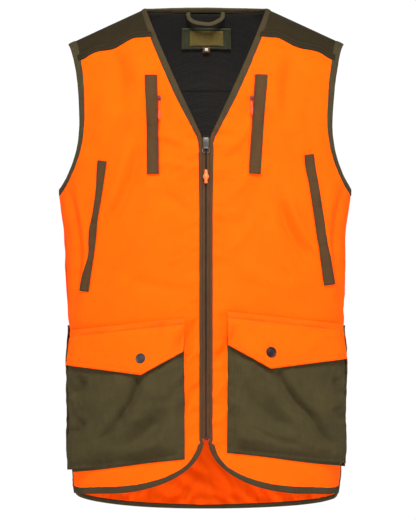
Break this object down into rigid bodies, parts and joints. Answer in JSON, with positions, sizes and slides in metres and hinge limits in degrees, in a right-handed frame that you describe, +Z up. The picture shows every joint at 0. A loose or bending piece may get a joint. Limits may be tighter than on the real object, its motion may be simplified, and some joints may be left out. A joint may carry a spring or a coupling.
{
  "type": "field vest",
  "caption": "Blaze orange zip-front field vest with olive shoulder yokes, bound edges, zipped chest pockets, slanted hand pockets and flapped cargo pockets.",
  "frame": {"origin": "centre of the bounding box's underside, level with the lowest point of the back hem", "axes": "+Z up the vest, +X towards the wearer's left, -Y out of the front"},
  "size_m": [0.4398, 0.2424, 0.754],
  "materials": {
    "orange_cloth": "matt woven polyester, blaze orange",
    "olive_cloth": "matt olive canvas",
    "brown_tape": "matt olive brown woven tape",
    "dark_mesh": "dark knitted mesh",
    "dark_coil": "dark moulded zip coil",
    "khaki_label": "plain khaki woven label",
    "orange_moulding": "soft orange moulding",
    "puller_cord": "braided cord",
    "gunmetal": "gunmetal plated"
  },
  "bodies": {
    "torso": {"back_panel": "orange_cloth", "back_yoke": "olive_cloth", "shoulder_yoke_left": "olive_cloth", "shoulder_yoke_right": "olive_cloth", "back_lining": "dark_mesh", "neck_facing": "dark_mesh", "neck_binding": "olive_cloth", "hem_binding_back": "olive_cloth", "armhole_binding_back_left": "olive_cloth", "armhole_binding_back_right": "olive_cloth", "game_pocket": "olive_cloth", "label_patch": "olive_cloth", "label_insert": "khaki_label"},
    "hanger": {"hanger_loop": "olive_cloth"},
    "neck_tag": {"size_tag": "khaki_label"},
    "front_left": {"front_panel_left": "orange_cloth", "front_lining_left": "dark_mesh", "front_binding_left": "brown_tape", "armhole_binding_front_left": "olive_cloth", "chest_pocket_bag_left": "dark_mesh", "chest_zip_left": "dark_coil", "chest_welt_left": "brown_tape", "hand_pocket_bag_left": "dark_mesh", "hand_welt_left": "brown_tape", "cargo_pocket_left": "olive_cloth", "snap_stud_left": "gunmetal", "zip_tape_left": "olive_cloth", "zip_coil_left": "dark_coil", "zip_top_stop_left": "gunmetal", "zip_retainer_box": "gunmetal"},
    "flap_left": {"pocket_flap_left": "orange_cloth", "snap_cap_left": "gunmetal", "snap_socket_left": "gunmetal"},
    "chest_slider_left": {"chest_slider_left": "gunmetal"},
    "chest_puller_left": {"chest_puller_left": "puller_cord"},
    "front_right": {"front_panel_right": "orange_cloth", "front_lining_right": "dark_mesh", "front_binding_right": "brown_tape", "armhole_binding_front_right": "olive_cloth", "chest_pocket_bag_right": "dark_mesh", "chest_zip_right": "dark_coil", "chest_welt_right": "brown_tape", "hand_pocket_bag_right": "dark_mesh", "hand_welt_right": "brown_tape", "cargo_pocket_right": "olive_cloth", "snap_stud_right": "gunmetal", "zip_tape_right": "olive_cloth", "zip_coil_right": "dark_coil", "zip_top_stop_right": "gunmetal", "zip_insertion_pin": "gunmetal"},
    "flap_right": {"pocket_flap_right": "orange_cloth", "snap_cap_right": "gunmetal", "snap_socket_right": "gunmetal"},
    "chest_slider_right": {"chest_slider_right": "gunmetal"},
    "chest_puller_right": {"chest_puller_right": "puller_cord"},
    "main_slider": {"zip_slider": "gunmetal"},
    "pull_tab": {"zip_pull_tab": "gunmetal"},
    "pull_cord": {"zip_pull_cord": "puller_cord", "zip_pull_toggle": "orange_moulding"}
  },
  "joints": [
    {"name": "hanger_swing", "type": "hinge", "parent": "torso", "child": "hanger", "pos_m": [0, 0.05393, 0.74004], "axis": [-1, 0, 0], "range_deg": [0, 165]},
    {"name": "neck_tag_lift", "type": "hinge", "parent": "torso", "child": "neck_tag", "pos_m": [0.00131, 0.0834, 0.69431], "axis": [-1, 0, 0], "range_deg": [0, 140]},
    {"name": "front_open_left", "type": "hinge", "parent": "torso", "child": "front_left", "pos_m": [0.2185, 0.01131, 0.48], "axis": [0, 0, 1], "range_deg": [0, 24]},
    {"name": "flap_lift_left", "type": "hinge", "parent": "front_left", "child": "flap_left", "pos_m": [0.12924, -0.07454, 0.28607], "axis": [-0.8515, -0.5161, 0.0928], "range_deg": [0, 75], "deforming": ["pocket_flap_left"]},
    {"name": "chest_zip_slide_left", "type": "slide", "parent": "front_left", "child": "chest_slider_left", "axis": [-0.0603, -0.009, -0.9981], "range_m": [0, 0.098]},
    {"name": "chest_puller_swing_left", "type": "hinge", "parent": "chest_slider_left", "child": "chest_puller_left", "pos_m": [0.06848, -0.10903, 0.61176], "axis": [-1, 0, 0], "range_deg": [0, 110]},
    {"name": "front_open_right", "type": "hinge", "parent": "torso", "child": "front_right", "pos_m": [-0.2185, 0.01131, 0.48], "axis": [0, 0, -1], "range_deg": [0, 24], "deforming": ["zip_coil_right", "zip_tape_right"]},
    {"name": "flap_lift_right", "type": "hinge", "parent": "front_right", "child": "flap_right", "pos_m": [-0.12898, -0.07454, 0.27672], "axis": [-0.8516, 0.5163, -0.0909], "range_deg": [0, 75], "deforming": ["pocket_flap_right"]},
    {"name": "chest_zip_slide_right", "type": "slide", "parent": "front_right", "child": "chest_slider_right", "axis": [0.018, -0.0023, -0.9998], "range_m": [0, 0.098]},
    {"name": "chest_puller_swing_right", "type": "hinge", "parent": "chest_slider_right", "child": "chest_puller_right", "pos_m": [-0.06992, -0.10879, 0.61179], "axis": [-1, 0, 0], "range_deg": [0, 110]},
    {"name": "main_zip_slide", "type": "slide", "parent": "front_left", "child": "main_slider", "axis": [0, 0, -1], "range_m": [0, 0.42]},
    {"name": "pull_tab_swing", "type": "hinge", "parent": "main_slider", "child": "pull_tab", "pos_m": [0, -0.10904, 0.5499], "axis": [-1, 0, 0], "range_deg": [0, 120]},
    {"name": "pull_cord_swing", "type": "hinge", "parent": "pull_tab", "child": "pull_cord", "pos_m": [0, -0.10904, 0.5332], "axis": [-1, 0, 0], "range_deg": [0, 45]}
  ]
}
